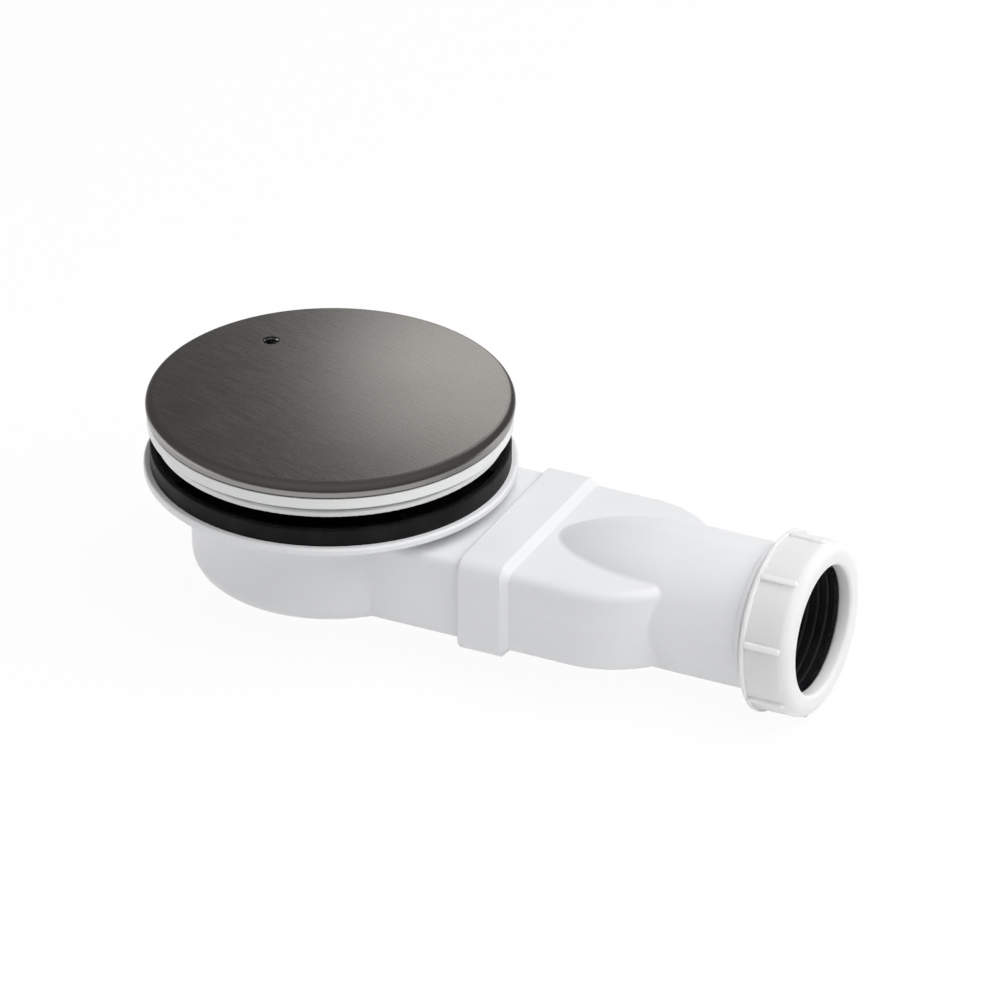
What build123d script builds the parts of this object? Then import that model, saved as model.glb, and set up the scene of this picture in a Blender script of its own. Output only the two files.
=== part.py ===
from build123d import *
from math import sqrt
import os

# Low shower trap: a metal dome over a threaded tray flange, a bowl with an oblong duct, and a round
# outlet with a compression nut. Millimetres, +Z up, +X towards the outlet. The origin is on the
# drain axis, on the plane where the underside of the flange meets the top of a shower tray.

# Cover: a pressed metal dome with a rolled edge
cover_diameter = 115.0
cover_sheet = 0.8
cover_skirt = 2.3
cover_step = 0.3
cover_edge_radius = 2.6
cover_crown = 1.8
lift_hole_diameter = 5.4
lift_hole_radius = 37.9
lift_hole_angle = 145.7
lift_hole_sink = 0.6

# Carrier: the white moulding under the dome
carrier_inset = 0.4
carrier_band = 3.7
carrier_edge_radius = 0.35
carrier_wall = 2.0
carrier_plate = 1.6
carrier_gap = 0.12
band_gap = 0.3
water_gap = 1.8
leg_count = 4
leg_thickness = 2.4
leg_reach = 6.0
leg_inner_radius = 32.5

# Tray flange with its threaded sleeve
flange_diameter = 109.6
flange_thickness = 2.2
flange_edge_radius = 0.8
flange_dish_radius = 46.0
sleeve_diameter = 80.0
sleeve_wall = 2.5
sleeve_length = 22.0
ledge_depth = 6.0
ledge_thickness = 2.0
ledge_bore = 60.6
key_notch_count = 4
key_notch_width = 8.0
key_notch_depth = 2.4
flange_seal_thickness = 1.0
flange_seal_width = 9.5

# Rubber gasket between the bowl's flange and the underside of the tray
tray_gap = 3.6
gasket_height = 5.8
gasket_diameter = 112.6
gasket_wall = 2.0
gasket_base = 2.2
gasket_lip_radius = 0.6
gasket_rib_count = 8
gasket_rib = 1.2
gasket_rib_drop = 1.0
gasket_rib_angle = 7.5

# Bowl and duct, one moulding
wall = 2.3
rim_diameter = 116.6
rim_thickness = 2.7
rim_edge = 0.7
rim_root_radius = 1.5
neck_upstand = 2.6
neck_wall = 2.4
neck_length = 8.0
bowl_diameter = 88.6
bowl_draft = 1.0
bowl_height = 35.7
bowl_edge_radius = 6.0
duct_width = 64.2
duct_rise = 2.4
duct_height = 26.8
duct_top_radius = 2.9
duct_bottom_radius = 1.0
duct_root_radius = 1.2

# Socket where the duct enters the outlet moulding
collar_start = 60.0
collar_length = 14.5
collar_proud = 2.0
collar_foot = 1.0
collar_bevel = 2.7
collar_edge_radius = 0.8
socket_depth = 12.5
collar_seal_width = 3.0
collar_seal_depth = 1.1

# Outlet moulding
oblong_width = 64.8
oblong_straight_end = 97.4
oblong_top_radius = 3.2
oblong_bottom_radius = 0.8
pipe_diameter = 46.2
pipe_bore = 40.8
nose_center = 121.8
nose_length = 51.6
nose_sweep = 70.0
nose_root_radius = 1.8
bead_width = 1.2
bead_height = 1.1
bead_edge_radius = 0.4
bead_to_nut = 1.2
thread_height = 1.8
thread_length = 9.2

# Compression nut and what it presses
nut_start = 153.0
nut_length = 15.8
nut_diameter = 55.6
nut_hole_diameter = 41.0
nut_front_wall = 4.7
nut_front_radius = 3.4
nut_hole_radius = 1.2
nut_flange_width = 1.4
nut_rib_count = 8
nut_rib_width = 2.0
nut_rib_height = 1.0
nut_rib_angle = 33.0
nut_rib_clear_of_front = 2.6
nut_rib_radius = 0.45
slip_ring_thickness = 1.2
outlet_seal_length = 9.4
outlet_seal_diameter = 44.2
outlet_seal_wall = 0.8
outlet_seal_lip = 1.0
outlet_seal_fin_count = 3
outlet_seal_fin = 0.7

# Removable insert: a dip tube hanging in the flange, with a water cup clipped under it
dip_bore = 37.0
dip_wall = 2.0
dip_plate = 2.0
dip_rim = 1.9
dip_length = 27.0
grip_thickness = 2.4
grip_height = 8.0
o_ring_section = 2.0
cup_diameter = 59.2
cup_wall = 1.8
cup_rim_depth = 8.0
cup_height = 27.5
cup_corner_radius = 5.0
cup_arm_count = 3
cup_arm_width = 8.0
cup_hook = 0.9

# Clearances
thread_clearance = 0.3
slide_clearance = 0.3
seat_clearance = 0.1

# Heights above and below the tray plane
carrier_low = flange_thickness + water_gap
carrier_shoulder = carrier_low + carrier_band
cover_low = carrier_shoulder + band_gap
cover_widest = cover_low + cover_skirt
cover_corner = cover_widest + cover_edge_radius
rim_top = -(tray_gap + gasket_height)
rim_low = rim_top - rim_thickness
bowl_low = rim_top - bowl_height
duct_low = bowl_low + duct_rise
bowl_floor = bowl_low + wall
duct_top = duct_low + duct_height
pipe_z = duct_low + duct_height / 2
ledge_top = -ledge_depth
ledge_low = ledge_top - ledge_thickness
dip_low = ledge_top - dip_length
cup_rim = ledge_top - cup_rim_depth
cup_low = cup_rim - cup_height

# Radii shared by pieces that fit each other
cover_radius = cover_diameter / 2
skirt_radius = cover_radius - cover_step
skirt_bore = skirt_radius - cover_sheet
sleeve_radius = sleeve_diameter / 2
throat_radius = sleeve_radius - sleeve_wall
neck_radius = sleeve_radius + thread_clearance
neck_outer_radius = neck_radius + neck_wall
bowl_radius = bowl_diameter / 2
pipe_radius = pipe_diameter / 2
pipe_bore_radius = pipe_bore / 2
nut_hole_bore = nut_hole_diameter / 2
seal_radius = outlet_seal_diameter / 2
thread_radius = pipe_radius + thread_height
nut_bore_radius = thread_radius + thread_clearance
nut_radius = nut_diameter / 2
dip_radius = dip_bore / 2 + dip_wall
cup_radius = cup_diameter / 2

# Stations along the outlet
collar_end = collar_start + collar_length
socket_end = collar_start + socket_depth
nut_front = nut_start + nut_length
nut_inner_face = nut_front - nut_front_wall
slip_ring_front = nut_inner_face - seat_clearance
slip_ring_back = slip_ring_front - slip_ring_thickness
seal_lip_front = slip_ring_back - seat_clearance
pipe_end = seal_lip_front - outlet_seal_lip - seat_clearance

outlet_axis = Axis((0, 0, pipe_z), (1, 0, 0))
outlet_plane = Plane(origin=(0, 0, pipe_z), x_dir=(1, 0, 0), z_dir=(0, -1, 0))


def outline(corners):
    # A closed outline through corners (x, y, rounding), with each named rounding as a true arc
    face = make_face(Polyline(*[(x, y) for x, y, rounding in corners], close=True))
    for x, y, rounding in corners:
        if rounding > 0:
            face = fillet(nearest(face, x, y), rounding)
    return face


def nearest(face, x, y):
    # The corner of a flat outline that lies nearest to x and y
    return face.vertices().sort_by_distance((x, y))[0]


def turned(face):
    # A body turned about the drain axis from an outline of radius and height
    return revolve(Plane.XZ * face, Axis.Z)


def turned_outlet(face):
    # A body turned about the outlet axis from an outline of station and radius
    return revolve(outlet_plane * face, outlet_axis)


def crown(radius, edge_z, sag):
    # The arc of a shallow dome from its edge to the axis
    ball = (radius**2 + sag**2) / (2 * sag)
    half = radius / 2
    half_z = edge_z + sag - ball + sqrt(ball**2 - half**2)
    return ThreePointArc((radius, edge_z), (half, half_z), (0, edge_z + sag))


def duct_section(inset, x, foot=0.0):
    # The duct's cross-section at station x, shrunk all round by inset and deepened by foot
    half = duct_width / 2 - inset
    low = duct_low + inset - foot
    high = duct_top - inset
    bottom_rounding = max(duct_bottom_radius - inset, 0)
    top_rounding = max(duct_top_radius - inset, 0)
    corners = [
        (-half, low, bottom_rounding),
        (half, low, bottom_rounding),
        (half, high, top_rounding),
        (-half, high, top_rounding),
    ]
    return Plane(origin=(x, 0, 0), x_dir=(0, 1, 0), z_dir=(1, 0, 0)) * outline(corners)


def make_cover_cap():
    inner_corner = cover_corner - cover_sheet
    outer_arc = crown(cover_radius, cover_corner, cover_crown)
    inner_arc = crown(skirt_bore, inner_corner, cover_crown)
    sides = Polyline(
        (cover_radius, cover_corner),
        (cover_radius, cover_widest),
        (skirt_radius, cover_widest),
        (skirt_radius, cover_low),
        (skirt_bore, cover_low),
        (skirt_bore, inner_corner),
    )
    axis_line = Line((0, cover_corner + cover_crown), (0, inner_corner + cover_crown))
    face = make_face([*outer_arc.edges(), *sides.edges(), *inner_arc.edges(), *axis_line.edges()])
    face = fillet(nearest(face, cover_radius, cover_corner), cover_edge_radius)
    face = fillet(nearest(face, skirt_bore, inner_corner), cover_edge_radius - cover_sheet)
    return turned(face) - lift_hole(cover_corner + cover_crown) - lift_hole_countersink()


def lift_hole(top):
    # The finger or hook hole, through the dome and the carrier's plate
    place = Rot(0, 0, lift_hole_angle) * Pos(lift_hole_radius, 0, top / 2)
    return place * Cylinder(lift_hole_diameter / 2, top + cover_crown)


def lift_hole_countersink():
    # The polished bevel at the hole's upper edge
    drop = cover_crown * (lift_hole_radius / cover_radius) ** 2
    surface = cover_corner + cover_crown - drop
    radius = lift_hole_diameter / 2
    place = Rot(0, 0, lift_hole_angle) * Pos(lift_hole_radius, 0, surface)
    return place * Cone(radius, radius + 2 * lift_hole_sink, 2 * lift_hole_sink)


def make_cover_carrier():
    band_radius = cover_radius - carrier_inset
    plug_radius = skirt_bore - carrier_gap
    plate_edge = cover_corner - cover_sheet - carrier_gap
    inner = band_radius - carrier_wall
    inner_edge = plate_edge - carrier_plate
    outer_arc = crown(plug_radius, plate_edge, cover_crown)
    inner_arc = crown(inner, inner_edge, cover_crown)
    sides = Polyline(
        (plug_radius, plate_edge),
        (plug_radius, carrier_shoulder),
        (band_radius, carrier_shoulder),
        (band_radius, carrier_low),
        (inner, carrier_low),
        (inner, inner_edge),
    )
    axis_line = Line((0, plate_edge + cover_crown), (0, inner_edge + cover_crown))
    face = make_face([*outer_arc.edges(), *sides.edges(), *inner_arc.edges(), *axis_line.edges()])
    face = fillet(nearest(face, plug_radius, plate_edge), cover_edge_radius - cover_sheet)
    face = fillet(nearest(face, band_radius, carrier_shoulder), carrier_edge_radius)
    face = fillet(nearest(face, band_radius, carrier_low), carrier_edge_radius)
    shell = turned(face) - lift_hole(plate_edge + cover_crown)
    return shell + PolarLocations(0, leg_count, start_angle=180 / leg_count) * carrier_leg(inner_edge)


def carrier_leg(top):
    # A fin that bears on the flange and reaches into its throat, which centres the cover
    foot = flange_thickness
    tip = ledge_top + dip_plate + dip_rim + slide_clearance
    guide = throat_radius - slide_clearance
    corners = [
        (leg_inner_radius, top + cover_crown / 2, 0),
        (leg_inner_radius, tip, 0),
        (guide, tip, 0),
        (guide, foot + slide_clearance, 0),
        (flange_dish_radius, foot + slide_clearance, 0),
        (flange_dish_radius, foot, 0),
        (flange_dish_radius + leg_reach, foot, 0),
        (flange_dish_radius + leg_reach, top + cover_crown / 2, 0),
    ]
    return extrude(Plane.XZ * outline(corners), leg_thickness / 2, both=True)


def make_top_flange():
    radius = flange_diameter / 2
    dish = flange_dish_radius
    corners = [
        (sleeve_radius, -sleeve_length, 0),
        (sleeve_radius, 0, 0),
        (radius, 0, flange_edge_radius / 2),
        (radius, flange_thickness, flange_edge_radius),
        (dish, flange_thickness, 0),
        (throat_radius, 0, 0),
        (throat_radius, ledge_top, 0),
        (ledge_bore / 2, ledge_top, 0),
        (ledge_bore / 2, ledge_low, 0),
        (throat_radius, ledge_low, 0),
        (throat_radius, -sleeve_length, 0),
    ]
    body = turned(outline(corners))
    notch = Box(2 * key_notch_depth, key_notch_width, 2 * ledge_thickness)
    notch = Pos(ledge_bore / 2, 0, ledge_top - ledge_thickness / 2) * notch
    return body - PolarLocations(0, key_notch_count) * notch


def make_flange_seal():
    inner = sleeve_radius + slide_clearance
    top = -seat_clearance
    corners = [
        (inner, top, 0),
        (inner + flange_seal_width, top, 0),
        (inner + flange_seal_width, top - flange_seal_thickness, 0),
        (inner, top - flange_seal_thickness, 0),
    ]
    return turned(outline(corners))


def make_tray_gasket():
    outer = gasket_diameter / 2
    inner = neck_outer_radius + slide_clearance
    top = rim_top + gasket_height
    base_top = rim_top + gasket_base
    corners = [
        (inner, rim_top, 0),
        (outer, rim_top, 0),
        (outer, top, gasket_lip_radius),
        (outer - gasket_wall, top, gasket_lip_radius),
        (outer - gasket_wall, base_top, 0),
        (inner + gasket_wall, base_top, 0),
        (inner + gasket_wall, top, gasket_lip_radius),
        (inner, top, gasket_lip_radius),
    ]
    ring = turned(outline(corners))
    span = outer - inner - gasket_wall
    rib_height = gasket_height - gasket_base - gasket_rib_drop
    rib = Pos((outer + inner) / 2, 0, base_top + rib_height / 2) * Box(span, gasket_rib, rib_height)
    return ring + PolarLocations(0, gasket_rib_count, start_angle=gasket_rib_angle) * rib


def make_trap_body():
    rim_radius = rim_diameter / 2
    shell_corners = [
        (0, bowl_low, 0),
        (bowl_radius - bowl_draft, bowl_low, bowl_edge_radius),
        (bowl_radius, rim_low, rim_root_radius),
        (rim_radius, rim_low, rim_edge),
        (rim_radius, rim_top, rim_edge),
        (neck_outer_radius, rim_top, 0),
        (neck_outer_radius, rim_top + neck_upstand, 0),
        (0, rim_top + neck_upstand, 0),
    ]
    cavity_radius = bowl_radius - wall
    neck_low = rim_top - neck_length
    neck_step = cavity_radius - neck_radius
    cavity_corners = [
        (0, bowl_floor, 0),
        (cavity_radius - bowl_draft, bowl_floor, bowl_edge_radius - wall),
        (cavity_radius, neck_low - neck_step, 0),
        (neck_radius, neck_low, 0),
        (neck_radius, rim_top + neck_upstand + wall, 0),
        (0, rim_top + neck_upstand + wall, 0),
    ]
    duct_end = socket_end - seat_clearance
    body = turned(outline(shell_corners)) + extrude(duct_section(0, 0), duct_end)
    body = fillet(body.edges().filter_by(duct_root), duct_root_radius)
    body = body - turned(outline(cavity_corners)) - extrude(duct_section(wall, 0), duct_end + wall)
    return body - seal_groove()


def duct_root(edge):
    # True of the edges where the duct leaves the bowl's round wall
    ends = [edge @ 0, edge @ 0.5, edge @ 1]
    on_wall = all(abs(sqrt(end.X**2 + end.Y**2) - bowl_radius) < 2 * bowl_draft for end in ends)
    below_rim = all(end.Z < rim_low - rim_root_radius for end in ends)
    return on_wall and below_rim and (edge @ 0.5).X > duct_width / 4


def seal_groove():
    # The groove round the duct's end for the socket seal
    start = (collar_start + socket_end - collar_seal_width) / 2
    rim = extrude(duct_section(-wall, start), collar_seal_width)
    core = extrude(duct_section(collar_seal_depth, start), collar_seal_width)
    return rim - core


def make_collar_seal():
    width = collar_seal_width - 2 * seat_clearance
    start = (collar_start + socket_end - width) / 2
    outer = extrude(duct_section(-slide_clearance + seat_clearance, start), width)
    inner = extrude(duct_section(collar_seal_depth - seat_clearance, start), width)
    return outer - inner


def oblong(inset, start):
    # The flat outlet chamber with its half-round end, shrunk all round by inset
    half = oblong_width / 2 - inset
    length = oblong_straight_end - start
    straight = Pos(start + length / 2, 0) * Rectangle(length, 2 * half)
    plan = straight + Pos(oblong_straight_end, 0) * Rot(0, 0, 180) * Circle(half)
    return extrude(Pos(0, 0, duct_low + inset) * plan, duct_height - 2 * inset)


def oblong_rim(edge):
    # The chamber's outer edges, without the straight one across its open start
    return abs(edge.tangent_at(0.5).Y) < 0.5 or edge.geom_type != GeomType.LINE


def outlet_pipe(radius, end):
    # The round outlet, which rises out of the chamber in a long half-ellipsoid nose
    nose = nose_length - pipe_radius + radius
    arc = EllipticalCenterArc((nose_center, 0), nose, radius, start_angle=90, arc_size=nose_sweep)
    tip = arc @ 1
    sides = Polyline((nose_center, radius), (end, radius), (end, 0), (tip.X, 0), (tip.X, tip.Y))
    return turned_outlet(make_face([*arc.edges(), *sides.edges()]))


def nose_root(edge):
    # True of the curved edges where the round outlet leaves the flat chamber
    return edge.geom_type not in (GeomType.LINE, GeomType.CIRCLE)


def tube(start, end, inner, outer, rounding=0):
    # A ring about the outlet axis, with its outer edges rounded
    corners = [(start, inner, 0), (end, inner, 0), (end, outer, rounding), (start, outer, rounding)]
    return turned_outlet(outline(corners))


def make_outlet_body():
    seal_back = pipe_end - outlet_seal_length
    bead_end = nut_start - bead_to_nut
    collar = extrude(duct_section(-collar_proud, collar_start, collar_foot), collar_length)
    collar = fillet(collar.faces().sort_by(Axis.X)[0].edges(), collar_edge_radius)
    wide = duct_section(-collar_proud, collar_end, collar_foot)
    narrow = duct_section(0, collar_end + collar_bevel)
    collar = collar + loft([wide, narrow])
    chamber = oblong(0, collar_start)
    chamber = fillet(chamber.faces().sort_by(Axis.Z)[-1].edges().filter_by(oblong_rim), oblong_top_radius)
    chamber = fillet(chamber.faces().sort_by(Axis.Z)[0].edges().filter_by(oblong_rim), oblong_bottom_radius)
    shape = chamber + outlet_pipe(pipe_radius, pipe_end)
    shape = collar + fillet(shape.edges().filter_by(nose_root), nose_root_radius)
    bead = (bead_end - bead_width, bead_end, pipe_bore_radius, pipe_radius + bead_height)
    shape = shape + tube(*bead, bead_edge_radius)
    shape = shape + tube(pipe_end - thread_length, pipe_end, pipe_bore_radius, thread_radius)
    shape = shape - (oblong(wall, collar_start) + outlet_pipe(pipe_bore_radius, pipe_end + wall))
    shape = shape - tube(seal_back, pipe_end + wall, 0, seal_radius + seat_clearance)
    return shape - extrude(duct_section(-slide_clearance, collar_start - wall), socket_depth + wall)


def make_outlet_nut():
    outer = nut_radius + nut_rib_height
    corners = [
        (nut_start, nut_bore_radius, 0),
        (nut_start, outer, nut_rib_height / 2),
        (nut_start + nut_flange_width, outer, nut_rib_height / 2),
        (nut_start + nut_flange_width, nut_radius, 0),
        (nut_front, nut_radius, nut_front_radius),
        (nut_front, nut_hole_bore, nut_hole_radius),
        (nut_inner_face, nut_hole_bore, nut_hole_radius / 2),
        (nut_inner_face, nut_bore_radius, 0),
    ]
    body = turned_outlet(outline(corners))
    rib_length = nut_length - nut_flange_width - nut_rib_clear_of_front
    depth = outer - nut_bore_radius
    rib = Pos(nut_start + nut_flange_width + rib_length / 2, 0, outer - depth / 2)
    rib = rib * Box(rib_length, nut_rib_width, depth)
    rib = fillet(rib.edges().filter_by(Axis.Z).group_by(Axis.X)[-1], nut_rib_width / 2 - seat_clearance)
    rib = fillet(rib.faces().sort_by(Axis.Z)[-1].edges(), nut_rib_radius)
    turns = [nut_rib_angle + 360 / nut_rib_count * index for index in range(nut_rib_count)]
    return body + [Pos(0, 0, pipe_z) * Rot(turn, 0, 0) * rib for turn in turns]


def make_slip_ring():
    inner = nut_hole_bore + seat_clearance
    return tube(slip_ring_back, slip_ring_front, inner, nut_bore_radius - slide_clearance)


def make_outlet_seal():
    bore = seal_radius - outlet_seal_wall
    back = pipe_end - outlet_seal_length + seat_clearance
    sleeve = tube(back, seal_lip_front, bore, seal_radius)
    sleeve = sleeve + tube(pipe_end + seat_clearance, seal_lip_front, bore, thread_radius)
    pitch = outlet_seal_length / outlet_seal_fin_count
    for index in range(outlet_seal_fin_count):
        start = back + pitch * (index + 0.5)
        sleeve = sleeve + tube(start, start + outlet_seal_wall, bore - outlet_seal_fin, seal_radius)
    return sleeve


def make_dip_tube():
    bore = dip_bore / 2
    rim = throat_radius - slide_clearance
    seat = rim - o_ring_section - 2 * seat_clearance
    plate_top = ledge_top + dip_plate
    groove_top = ledge_top + o_ring_section + seat_clearance
    corners = [
        (bore, dip_low, 0),
        (dip_radius, dip_low, 0),
        (dip_radius, ledge_top, 0),
        (seat, ledge_top, 0),
        (seat, groove_top, 0),
        (rim, groove_top, 0),
        (rim, plate_top + dip_rim, 0),
        (seat - dip_wall, plate_top + dip_rim, 0),
        (seat - dip_wall, plate_top, 0),
        (dip_radius, plate_top, 0),
        (bore, plate_top - dip_wall, 0),
    ]
    body = turned(outline(corners))
    bar = Pos(0, 0, plate_top - grip_height / 2) * Box(dip_bore + dip_wall, grip_thickness, grip_height)
    body = body + bar + Rot(0, 0, 90) * bar
    slot_width = cup_arm_width + 2 * slide_clearance
    slot_depth = cup_wall + 2 * slide_clearance
    slot = Box(slot_depth, slot_width, 2 * dip_plate)
    slot = Pos(cup_radius - cup_wall / 2, 0, ledge_top + dip_plate / 2) * slot
    return body - PolarLocations(0, cup_arm_count, start_angle=180 / cup_arm_count) * slot


def make_dip_tube_o_ring():
    major = throat_radius - slide_clearance - o_ring_section / 2 - seat_clearance
    return Pos(0, 0, ledge_top + o_ring_section / 2 + seat_clearance / 2) * Torus(major, o_ring_section / 2)


def make_trap_cup():
    inner = cup_radius - cup_wall
    corners = [
        (0, cup_low, 0),
        (cup_radius, cup_low, cup_corner_radius),
        (cup_radius, cup_rim, 0),
        (inner, cup_rim, 0),
        (inner, cup_low + cup_wall, cup_corner_radius - cup_wall),
        (0, cup_low + cup_wall, 0),
    ]
    body = turned(outline(corners))
    hook_low = ledge_top + dip_plate + seat_clearance
    hook_top = hook_low + cup_hook + cup_wall / 2
    arm = Pos(cup_radius - cup_wall / 2, 0, (cup_rim - cup_wall + hook_top) / 2)
    arm = arm * Box(cup_wall, cup_arm_width, hook_top - cup_rim + cup_wall)
    hook_x = inner - slide_clearance - cup_hook / 2
    hook = Pos(hook_x, 0, (hook_low + hook_top) / 2)
    hook = hook * Box(cup_hook + 2 * slide_clearance + cup_wall / 2, cup_arm_width, hook_top - hook_low)
    return body + PolarLocations(0, cup_arm_count, start_angle=180 / cup_arm_count) * (arm + hook)


makers = {
    "cover_cap": make_cover_cap,
    "cover_carrier": make_cover_carrier,
    "top_flange": make_top_flange,
    "flange_seal": make_flange_seal,
    "tray_gasket": make_tray_gasket,
    "trap_body": make_trap_body,
    "dip_tube": make_dip_tube,
    "dip_tube_o_ring": make_dip_tube_o_ring,
    "trap_cup": make_trap_cup,
    "collar_seal": make_collar_seal,
    "outlet_body": make_outlet_body,
    "outlet_nut": make_outlet_nut,
    "slip_ring": make_slip_ring,
    "outlet_seal": make_outlet_seal,
}

os.makedirs("parts", exist_ok=True)
for node, maker in makers.items():
    export_step(maker(), f"parts/{node}.step")
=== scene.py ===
import bpy
import bmesh
import math
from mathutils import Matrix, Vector


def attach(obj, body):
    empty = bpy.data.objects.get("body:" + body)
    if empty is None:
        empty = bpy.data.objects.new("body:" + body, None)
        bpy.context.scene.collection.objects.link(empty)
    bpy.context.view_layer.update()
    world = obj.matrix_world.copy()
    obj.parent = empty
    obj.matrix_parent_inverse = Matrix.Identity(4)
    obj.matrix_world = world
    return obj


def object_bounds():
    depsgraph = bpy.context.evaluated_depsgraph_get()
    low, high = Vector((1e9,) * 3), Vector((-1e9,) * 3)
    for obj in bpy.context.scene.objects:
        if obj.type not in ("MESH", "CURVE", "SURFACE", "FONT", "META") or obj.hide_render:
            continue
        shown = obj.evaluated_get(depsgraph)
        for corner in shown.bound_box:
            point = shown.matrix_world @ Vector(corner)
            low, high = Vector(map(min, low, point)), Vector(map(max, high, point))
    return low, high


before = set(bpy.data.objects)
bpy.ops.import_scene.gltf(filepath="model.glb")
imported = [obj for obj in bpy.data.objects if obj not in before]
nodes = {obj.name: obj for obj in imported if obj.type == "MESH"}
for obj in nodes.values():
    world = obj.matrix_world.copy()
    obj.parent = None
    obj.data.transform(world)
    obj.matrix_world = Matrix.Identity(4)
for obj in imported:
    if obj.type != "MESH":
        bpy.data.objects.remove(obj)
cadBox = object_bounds()
mm = 0.001
print("frame loaded:", len(nodes), "pieces")


# small helpers for the node trees
def newFinish(name):
    finish = bpy.data.materials.new(name)
    finish.use_nodes = True
    tree = finish.node_tree
    shader = tree.nodes["Principled BSDF"]
    place = tree.nodes.new("ShaderNodeTexCoord").outputs["Object"]
    return finish, tree, shader, place


def plug(tree, source, socket):
    if isinstance(source, bpy.types.NodeSocket):
        tree.links.new(source, socket)
    elif socket.type == "RGBA":
        socket.default_value = (*source, 1)
    else:
        socket.default_value = source


def noise(tree, place, scale, detail, stretch=(1, 1, 1), turn=0.0):
    for move, amount in (("Rotation", (0, 0, turn)), ("Scale", stretch)):
        lay = tree.nodes.new("ShaderNodeMapping")
        lay.inputs[move].default_value = amount
        tree.links.new(place, lay.inputs["Vector"])
        place = lay.outputs["Vector"]
    grain = tree.nodes.new("ShaderNodeTexNoise")
    grain.inputs["Scale"].default_value = scale
    grain.inputs["Detail"].default_value = detail
    tree.links.new(place, grain.inputs["Vector"])
    return grain.outputs["Fac"]


def spread(tree, source, low, high, fromLow=0.3, fromHigh=0.7):
    ranged = tree.nodes.new("ShaderNodeMapRange")
    tree.links.new(source, ranged.inputs["Value"])
    ranged.inputs["From Min"].default_value = fromLow
    ranged.inputs["From Max"].default_value = fromHigh
    ranged.inputs["To Min"].default_value = low
    ranged.inputs["To Max"].default_value = high
    return ranged.outputs["Result"]


def mixColour(tree, factor, first, second):
    mix = tree.nodes.new("ShaderNodeMix")
    mix.data_type = "RGBA"
    plug(tree, factor, mix.inputs[0])
    plug(tree, first, mix.inputs[6])
    plug(tree, second, mix.inputs[7])
    return mix.outputs[2]


def sums(tree, kind, first, second=0.0, third=0.0):
    work = tree.nodes.new("ShaderNodeMath")
    work.operation = kind
    for value, socket in zip((first, second, third), work.inputs):
        plug(tree, value, socket)
    return work.outputs[0]


def vectors(tree, kind, first, second=None):
    work = tree.nodes.new("ShaderNodeVectorMath")
    work.operation = kind
    plug(tree, first, work.inputs[0])
    if second is not None:
        plug(tree, second, work.inputs["Scale" if kind == "SCALE" else 1])
    return work.outputs["Value" if kind == "DOT_PRODUCT" else "Vector"]


def bump(tree, height, distance, under=None):
    bumped = tree.nodes.new("ShaderNodeBump")
    bumped.inputs["Distance"].default_value = distance
    bumped.inputs["Strength"].default_value = 1.0
    tree.links.new(height, bumped.inputs["Height"])
    if under:
        tree.links.new(under, bumped.inputs["Normal"])
    return bumped.outputs["Normal"]


def axes(tree, place):
    split = tree.nodes.new("ShaderNodeSeparateXYZ")
    tree.links.new(place, split.inputs[0])
    return split.outputs[0], split.outputs[1], split.outputs[2]


def awayFrom(tree, first, second, centre):
    sideways = sums(tree, "POWER", sums(tree, "SUBTRACT", first, centre[0]), 2.0)
    along = sums(tree, "POWER", sums(tree, "SUBTRACT", second, centre[1]), 2.0)
    return sums(tree, "SQRT", sums(tree, "ADD", sideways, along))


# satin white mouldings: a faint cloud in the colour and a fine spark-eroded grain
def mouldedWhite(name, look):
    finish, tree, shader, place = newFinish(name)
    cloud = noise(tree, place, look["cloudScale"], look["detail"])
    colour = mixColour(tree, spread(tree, cloud, 0.0, 1.0), look["colour"], look["shade"])
    tree.links.new(colour, shader.inputs["Base Color"])
    grain = noise(tree, place, look["grainScale"], look["detail"])
    tree.links.new(spread(tree, grain, *look["roughness"]), shader.inputs["Roughness"])
    normal = bump(tree, grain, look["grainHeight"])
    if "glow" in look:                            # light that soaks into the plastic
        shader.inputs["Subsurface Weight"].default_value = look["glow"]
        shader.inputs["Subsurface Scale"].default_value = look["glowDepth"]
        shader.inputs["Subsurface Radius"].default_value = (1.0, 1.0, 1.0)
    if "seamHeight" in look:                      # parting line of the two mould halves
        x, _, z = axes(tree, place)
        away = sums(tree, "ABSOLUTE", sums(tree, "SUBTRACT", z, look["seamHeight"]))
        line = spread(tree, away, 1.0, 0.0, look["seamFull"], look["seamWidth"])
        beyond = sums(tree, "GREATER_THAN", x, look["seamFrom"])
        normal = bump(tree, sums(tree, "MULTIPLY", line, beyond), look["seamProud"], normal)
    tree.links.new(normal, shader.inputs["Normal"])
    return finish


bodyLook = {
    "colour": (0.80, 0.806, 0.82), "shade": (0.78, 0.786, 0.80), "cloudScale": 45, "detail": 3.0,
    "roughness": (0.34, 0.44), "grainScale": 2200, "grainHeight": 0.012 * mm,
    "seamHeight": -29.3 * mm, "seamWidth": 0.35 * mm, "seamFull": 0.105 * mm,
    "seamProud": 0.05 * mm, "seamFrom": 74.6 * mm,
}
carrierLook = {
    "colour": (0.80, 0.815, 0.80), "shade": (0.775, 0.79, 0.775), "cloudScale": 50, "detail": 3.0,
    "roughness": (0.26, 0.34), "grainScale": 2600, "grainHeight": 0.006 * mm,
}
nutLook = {
    "colour": (0.80, 0.806, 0.80), "shade": (0.78, 0.786, 0.78), "cloudScale": 60, "detail": 3.0,
    "roughness": (0.32, 0.42), "grainScale": 2200, "grainHeight": 0.010 * mm,
    "glow": 0.9, "glowDepth": 4.0 * mm,
}
bodyWhite = mouldedWhite("bodyWhite", bodyLook)
carrierWhite = mouldedWhite("carrierWhite", carrierLook)
nutWhite = mouldedWhite("nutWhite", nutLook)


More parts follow.
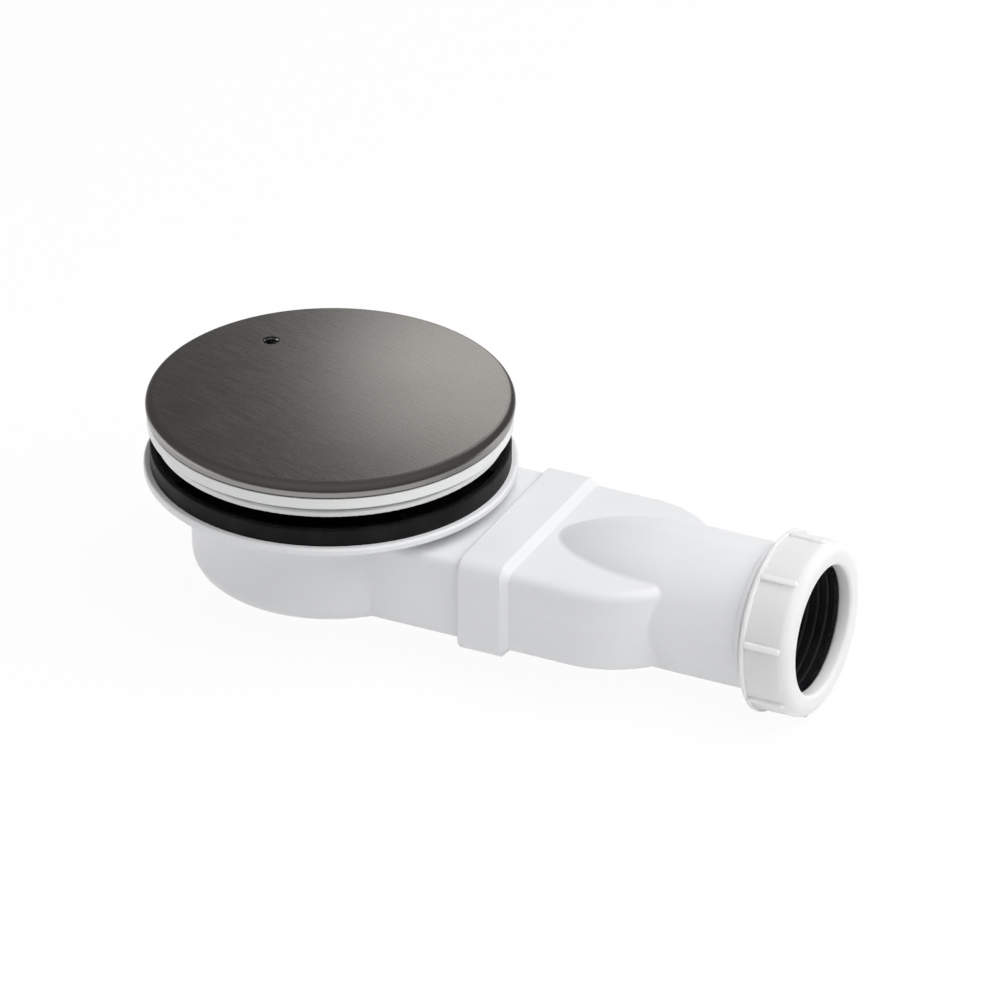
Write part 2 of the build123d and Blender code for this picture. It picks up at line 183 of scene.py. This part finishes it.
# brushed cover: fine straight scratches at a slant to the outlet, with a smooth skirt and lift
# hole, and a painted shadow line along the cap's lower edge
coverLook = {
    "colour": (0.300, 0.286, 0.268), "dark": (0.235, 0.224, 0.210), "edge": (0.290, 0.283, 0.272),
    "turn": math.radians(18.5), "stretch": (60, 2500, 0), "streakDetail": 5.0,
    "streakRadius": 53.5 * mm, "streakFade": 2.5 * mm, "scratch": 0.006 * mm,
    "cloudScale": 30, "cloudDetail": 2.0, "cloudShare": 0.2, "toneFrom": 0.36, "toneTo": 0.64,
    "roughness": (0.225, 0.30), "smooth": 0.22, "edgeHeight": 9.7 * mm, "edgeBlend": 0.15 * mm,
    "hole": (-31.31 * mm, 21.36 * mm), "holeRadius": 3.3 * mm, "holeBlend": 0.3 * mm,
    "rollLow": 9.8 * mm, "rollHigh": 13.1 * mm, "rollFade": 0.12 * mm,
    "rollLean": 0.7, "rollEase": 1.6, "rollFacing": 0.5,
    # painted shadow: below this height the cap is coloured near black for the shadow in the gap
    # above the carrier
    "gapShadowHeight": 8.25 * mm, "line": (0.04, 0.04, 0.04),
}


# the pressed edge catches the light as a fuller roll, which stops a little short of upright
def rolledEdge(tree, place, z, look):
    down = spread(tree, z, 1.0, 0.0, look["rollLow"], look["rollHigh"])
    eased = sums(tree, "POWER", down, look["rollEase"])
    rise = sums(tree, "MULTIPLY_ADD", eased, -look["rollLean"], 1.0)
    level = sums(tree, "SQRT", sums(tree, "SUBTRACT", 1.0, sums(tree, "POWER", rise, 2.0)))
    flat = vectors(tree, "NORMALIZE", vectors(tree, "MULTIPLY", place, (1, 1, 0)))
    upright = tree.nodes.new("ShaderNodeCombineXYZ")
    tree.links.new(rise, upright.inputs["Z"])
    leaning = vectors(tree, "ADD", vectors(tree, "SCALE", flat, level), upright.outputs[0])
    toWorld = tree.nodes.new("ShaderNodeVectorTransform")
    toWorld.vector_type = "NORMAL"
    toWorld.convert_from, toWorld.convert_to = "OBJECT", "WORLD"
    tree.links.new(leaning, toWorld.inputs[0])
    rolled = toWorld.outputs[0]
    pressed = tree.nodes.new("ShaderNodeNewGeometry").outputs["Normal"]
    facing = vectors(tree, "DOT_PRODUCT", pressed, rolled)
    outer = sums(tree, "GREATER_THAN", facing, look["rollFacing"])
    aboveSkirt = sums(tree, "GREATER_THAN", z, look["rollLow"])
    belowDome = spread(tree, z, 1.0, 0.0, look["rollHigh"] - look["rollFade"], look["rollHigh"])
    share = sums(tree, "MULTIPLY", outer, sums(tree, "MULTIPLY", aboveSkirt, belowDome))
    bend = vectors(tree, "SCALE", vectors(tree, "SUBTRACT", rolled, pressed), share)
    return vectors(tree, "NORMALIZE", vectors(tree, "ADD", pressed, bend))


def brushedCover(name, look):
    finish, tree, shader, place = newFinish(name)
    shader.inputs["Metallic"].default_value = 1.0
    x, y, z = axes(tree, place)
    fromHole = awayFrom(tree, x, y, look["hole"])
    outsideHole = spread(tree, fromHole, 0.0, 1.0,
        look["holeRadius"], look["holeRadius"] + look["holeBlend"])
    aboveEdge = spread(tree, z, 0.0, 1.0,
        look["edgeHeight"], look["edgeHeight"] + look["edgeBlend"])
    brushed = sums(tree, "MULTIPLY", outsideHole, aboveEdge)
    inside = spread(tree, awayFrom(tree, x, y, (0.0, 0.0)), 1.0, 0.0,
        look["streakRadius"], look["streakRadius"] + look["streakFade"])
    streak = noise(tree, place, 1.0, look["streakDetail"], look["stretch"], look["turn"])
    streak = sums(tree, "MULTIPLY_ADD", sums(tree, "SUBTRACT", streak, 0.5), inside, 0.5)
    cloud = noise(tree, place, look["cloudScale"], look["cloudDetail"])
    streakShare = sums(tree, "MULTIPLY", streak, 1.0 - look["cloudShare"])
    tone = sums(tree, "MULTIPLY_ADD", cloud, look["cloudShare"], streakShare)
    bright = spread(tree, tone, 0.0, 1.0, look["toneFrom"], look["toneTo"])
    grained = mixColour(tree, bright, look["dark"], look["colour"])
    # painted shadow of the gap under the cap: the lowest strip of the skirt takes the near-black
    # line colour
    aboveGapShadow = sums(tree, "GREATER_THAN", z, look["gapShadowHeight"])
    skirtWithGapShadow = mixColour(tree, aboveGapShadow, look["line"], look["edge"])
    tree.links.new(mixColour(tree, brushed, skirtWithGapShadow, grained), shader.inputs["Base Color"])
    rough = sums(tree, "SUBTRACT", spread(tree, streak, *look["roughness"]), look["smooth"])
    rough = sums(tree, "MULTIPLY_ADD", brushed, rough, look["smooth"])
    tree.links.new(rough, shader.inputs["Roughness"])
    rolled = rolledEdge(tree, place, z, look)
    normal = bump(tree, sums(tree, "MULTIPLY", streak, brushed), look["scratch"], rolled)
    tree.links.new(normal, shader.inputs["Normal"])
    return finish


coverMetal = brushedCover("coverMetal", coverLook)


# moulded rubber: near black, with a dusty bloom that lifts it a little in patches
rubberLook = {
    "colour": (0.004, 0.004, 0.005), "bloom": (0.010, 0.010, 0.011), "bloomScale": 120,
    "bloomDetail": 4.0, "bloomFrom": 0.4, "bloomTo": 0.75, "roughness": (0.42, 0.56),
    "grainScale": 1600, "grainDetail": 2.0, "grainHeight": 0.014 * mm, "gloss": 0.12,
}


def mouldedRubber(name, look):
    finish, tree, shader, place = newFinish(name)
    shader.inputs["Specular IOR Level"].default_value = look["gloss"]
    dust = noise(tree, place, look["bloomScale"], look["bloomDetail"])
    dusty = spread(tree, dust, 0.0, 1.0, look["bloomFrom"], look["bloomTo"])
    colour = mixColour(tree, dusty, look["colour"], look["bloom"])
    if "crest" in look:                           # fin edges, with a painted highlight
        _, y, z = axes(tree, place)
        crest = spread(tree, awayFrom(tree, y, z, look["axis"]), 1.0, 0.0,
            look["crestRadius"], look["crestRadius"] + look["crestBlend"])
        colour = mixColour(tree, crest, colour, look["crest"])
    tree.links.new(colour, shader.inputs["Base Color"])
    grain = noise(tree, place, look["grainScale"], look["grainDetail"])
    tree.links.new(spread(tree, grain, *look["roughness"]), shader.inputs["Roughness"])
    tree.links.new(bump(tree, grain, look["grainHeight"]), shader.inputs["Normal"])
    return finish


# the seal's fin edges take a paler colour inside crestRadius: a painted highlight
sealLook = {
    **rubberLook, "axis": (0.0, -29.3 * mm), "crestRadius": 20.61 * mm, "crestBlend": 0.06 * mm,
    "crest": (0.028, 0.028, 0.029), "gloss": 0.3,
}
slipLook = {**rubberLook, "roughness": (0.22, 0.30), "gloss": 0.5}
blackRubber = mouldedRubber("blackRubber", rubberLook)
sealRubber = mouldedRubber("sealRubber", sealLook)
slipBlack = mouldedRubber("slipBlack", slipLook)

finishes = {
    "cover_cap": coverMetal, "cover_carrier": carrierWhite, "top_flange": carrierWhite,
    "trap_body": bodyWhite, "outlet_body": bodyWhite, "dip_tube": bodyWhite, "trap_cup": bodyWhite,
    "outlet_nut": nutWhite, "slip_ring": slipBlack, "flange_seal": blackRubber,
    "tray_gasket": blackRubber, "collar_seal": blackRubber, "dip_tube_o_ring": blackRubber,
    "outlet_seal": sealRubber,
}
for node, finish in finishes.items():
    nodes[node].material_slots[0].material = finish
print("finishes on:", len(finishes))


# a finished mesh becomes a piece that rides one body
def addPiece(name, mesh, finish, body):
    bmesh.ops.recalc_face_normals(mesh, faces=mesh.faces)
    data = bpy.data.meshes.new(name)
    mesh.to_mesh(data)
    mesh.free()
    piece = bpy.data.objects.new(name, data)
    bpy.context.scene.collection.objects.link(piece)
    data.materials.append(finish)
    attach(piece, body)
    print("piece added:", name, len(data.polygons), "faces")


# one ridge of a right-hand thread, wound about its own axis with a spin that climbs
def threadRidge(name, thread, finish, body):
    mesh = bmesh.new()
    axis = Vector(thread["axis"])
    out = Vector(thread["out"])
    foot = Vector(thread["start"])
    root = thread["root"]
    sunk, crest = root - thread["sunk"], root + thread["proud"]
    half, top = 0.5, thread["crestShare"] / 2
    corners = []
    for radius, along in ((sunk, -half), (root, -half), (crest, -top),
            (crest, top), (root, half), (sunk, half)):
        corners.append(mesh.verts.new(foot + out * radius + axis * along * thread["width"]))
    face = mesh.faces.new(corners)
    steps = int(thread["turns"] * thread["stepsPerTurn"])
    bmesh.ops.spin(mesh, geom=[face] + list(face.edges) + corners, cent=foot, axis=axis,
        dvec=axis * thread["lead"] / thread["stepsPerTurn"],
        angle=math.tau * thread["turns"], steps=steps)
    addPiece(name, mesh, finish, body)


# a closed profile of radii and heights in millimetres, spun about an axis
def spunRing(name, ring, finish, body):
    mesh = bmesh.new()
    centre = Vector(ring["centre"])
    axis = Vector(ring["axis"]).normalized()
    across = axis.orthogonal().normalized()
    corners = []
    for radius, height in ring["profile"]:
        corners.append(mesh.verts.new(centre + across * radius * mm + axis * height * mm))
    edges = [mesh.edges.new(pair) for pair in zip(corners, corners[1:] + corners[:1])]
    bmesh.ops.spin(mesh, geom=corners + edges, cent=centre, axis=axis,
        angle=math.tau, steps=ring["steps"], use_merge=True)
    addPiece(name, mesh, finish, body)


sleeveThread = {
    "axis": (0, 0, 1), "out": (1, 0, 0), "start": (0, 0, -20.5 * mm), "root": 40.0 * mm,
    "proud": 0.2 * mm, "sunk": 0.3 * mm, "width": 1.5 * mm, "crestShare": 0.44,
    "lead": 3.0 * mm, "turns": 5, "stepsPerTurn": 72,
}
outletThread = {
    "axis": (1, 0, 0), "out": (0, 0, 1), "start": (153.3 * mm, 0, -29.3 * mm), "root": 24.9 * mm,
    "proud": 0.2 * mm, "sunk": 0.3 * mm, "width": 1.5 * mm, "crestShare": 0.44,
    "lead": 3.0 * mm, "turns": 2.4, "stepsPerTurn": 60,
}
threadRidge("sleeve_thread", sleeveThread, carrierWhite, "tray_flange")
threadRidge("outlet_thread", outletThread, bodyWhite, "trap")


# step that the outlet's bead shows beside the nut
beadShape = {
    "centre": (148.9 * mm, 0, -29.3 * mm), "axis": (1.0, 0.0, 0.0),
    "profile": ((22.9, 0.00), (23.70, 0.00), (23.95, 0.08), (24.15, 0.25), (24.25, 0.50),
        (24.25, 1.80), (22.9, 1.80)),
    "steps": 144,
}

# drawn lip of the cover that lines its lift hole, spun about the dome's own slope there
lipShape = {
    "centre": (-31.31 * mm, 21.36 * mm, 13.92 * mm), "axis": (-0.0341, 0.0233, 1.0),
    "profile": ((3.30, -0.05), (3.24, 0.02), (3.10, 0.02), (3.02, -0.06), (2.96, -0.16),
        (2.58, -0.82), (2.55, -3.30), (2.62, -3.30), (2.66, -0.90), (3.20, -0.16)),
    "steps": 96,
}
lipLook = {
    "colour": (0.50, 0.49, 0.47), "cloud": (0.45, 0.44, 0.42), "cloudScale": 400,
    "cloudDetail": 2.0, "roughness": (0.08, 0.13),
}


def polishedMetal(name, look):
    finish, tree, shader, place = newFinish(name)
    shader.inputs["Metallic"].default_value = 1.0
    cloud = noise(tree, place, look["cloudScale"], look["cloudDetail"])
    colour = mixColour(tree, cloud, look["colour"], look["cloud"])
    tree.links.new(colour, shader.inputs["Base Color"])
    tree.links.new(spread(tree, cloud, *look["roughness"]), shader.inputs["Roughness"])
    return finish


lipMetal = polishedMetal("lipMetal", lipLook)
spunRing("outlet_bead", beadShape, bodyWhite, "trap")
spunRing("lift_hole_lip", lipShape, lipMetal, "tray_flange")


# camera at the photograph's angle, from far away with a long lens
view = {
    "turn": math.radians(25.8), "rise": math.radians(29.5), "target": (59.25, 0.0, -11.1),
    "distance": 3.709, "lens": 429.85, "sensor": 36, "reach": 50,
}
level = math.cos(view["rise"])
back = Vector((math.sin(view["turn"]) * level, -math.cos(view["turn"]) * level,
    math.sin(view["rise"])))
lens = bpy.data.cameras.new("camera")
lens.lens = view["lens"]
lens.sensor_width = view["sensor"]
lens.clip_end = view["reach"]
camera = bpy.data.objects.new("camera", lens)
camera.location = Vector(view["target"]) * mm + back * view["distance"]
camera.rotation_euler = back.to_track_quat("Z", "Y").to_euler()
bpy.context.scene.collection.objects.link(camera)
bpy.context.scene.camera = camera


# a white sweep that ends low all round, and a dim studio above it
studio = {
    "dim": 0.16, "sweepFull": 0.07, "sweepEnd": 0.23, "zenith": 0.30, "zenithFrom": 0.62,
    "floorBelow": 0.1 * mm, "floorSize": 8.0, "floorWhite": 0.95,
    "paper": (0.9, 0.9, 0.9), "paperRoughness": 0.9,
}

world = bpy.data.worlds.new("studio")
bpy.context.scene.world = world
world.use_nodes = True
skyTree = world.node_tree
sky = skyTree.nodes["Background"]
sky.inputs["Color"].default_value = (1, 1, 1, 1)
direction = skyTree.nodes.new("ShaderNodeTexCoord").outputs["Generated"]
height = axes(skyTree, direction)[2]
sweep = spread(skyTree, height, 1.0, studio["dim"], studio["sweepFull"], studio["sweepEnd"])
above = spread(skyTree, height, studio["dim"], studio["zenith"], studio["zenithFrom"], 1.0)
skyTree.links.new(sums(skyTree, "MAXIMUM", sweep, above), sky.inputs["Strength"])


def seenWhite(tree):
    path = tree.nodes.new("ShaderNodeLightPath")
    seen = sums(tree, "MAXIMUM", path.outputs["Is Camera Ray"], path.outputs["Is Glossy Ray"])
    return sums(tree, "MAXIMUM", seen, path.outputs["Is Transmission Ray"])


floorMesh = bmesh.new()
bmesh.ops.create_grid(floorMesh, x_segments=1, y_segments=1, size=studio["floorSize"] / 2)
bmesh.ops.translate(floorMesh, verts=floorMesh.verts,
    vec=(0, 0, cadBox[0][2] - studio["floorBelow"]))
floorData = bpy.data.meshes.new("floor")
floorMesh.to_mesh(floorData)
floorMesh.free()
floor = bpy.data.objects.new("floor", floorData)
bpy.context.scene.collection.objects.link(floor)
paper, paperTree, paperShader, _ = newFinish("paper")
plug(paperTree, studio["paper"], paperShader.inputs["Base Color"])
plug(paperTree, studio["paperRoughness"], paperShader.inputs["Roughness"])
glow = paperTree.nodes.new("ShaderNodeEmission")
blend = paperTree.nodes.new("ShaderNodeMixShader")
white = sums(paperTree, "MULTIPLY", seenWhite(paperTree), studio["floorWhite"])
paperTree.links.new(white, blend.inputs[0])
paperTree.links.new(paperShader.outputs[0], blend.inputs[1])
paperTree.links.new(glow.outputs[0], blend.inputs[2])
paperTree.links.new(blend.outputs[0], paperTree.nodes["Material Output"].inputs["Surface"])
floorData.materials.append(paper)


# four soft lamps; the key isn't mirrored, so that the cover shows only the other three
lamps = {
    "keyLamp": {
        "aim": (59.25, 0.0, -11.1), "from": (0.48, 0.0, 0.87), "away": 1.2,
        "wide": 1.6, "tall": 1.6, "watts": 17.8, "mirrored": False,
    },
    "fillLamp": {
        "aim": (0.0, 0.0, -11.1), "from": (-0.92, -0.32, 0.25), "away": 1.0,
        "wide": 1.4, "tall": 0.5, "watts": 2.2, "mirrored": True,
    },
    "sideLamp": {
        "aim": (0.0, 0.0, 14.7), "from": (0.62, 0.74, 0.26), "away": 1.2,
        "wide": 0.7, "tall": 0.4, "watts": 1.0, "mirrored": True,
    },
    "coverLamp": {
        "aim": (0.0, 0.0, 14.7), "from": (-0.297, 0.845, 0.444), "away": 1.06,
        "wide": 0.233, "tall": 0.366, "watts": 0.333, "mirrored": True,
    },
}


def softbox(name, lamp):
    data = bpy.data.lights.new(name, "AREA")
    data.shape = "ELLIPSE"
    data.size = lamp["wide"]
    data.size_y = lamp["tall"]
    data.energy = lamp["watts"]
    holder = bpy.data.objects.new(name, data)
    toLamp = Vector(lamp["from"]).normalized()
    holder.location = Vector(lamp["aim"]) * mm + toLamp * lamp["away"]
    holder.rotation_euler = toLamp.to_track_quat("Z", "Y").to_euler()
    holder.visible_glossy = lamp["mirrored"]
    bpy.context.scene.collection.objects.link(holder)


for name, lamp in lamps.items():
    softbox(name, lamp)
bpy.context.scene.view_settings.view_transform = "Standard"
print("studio set")
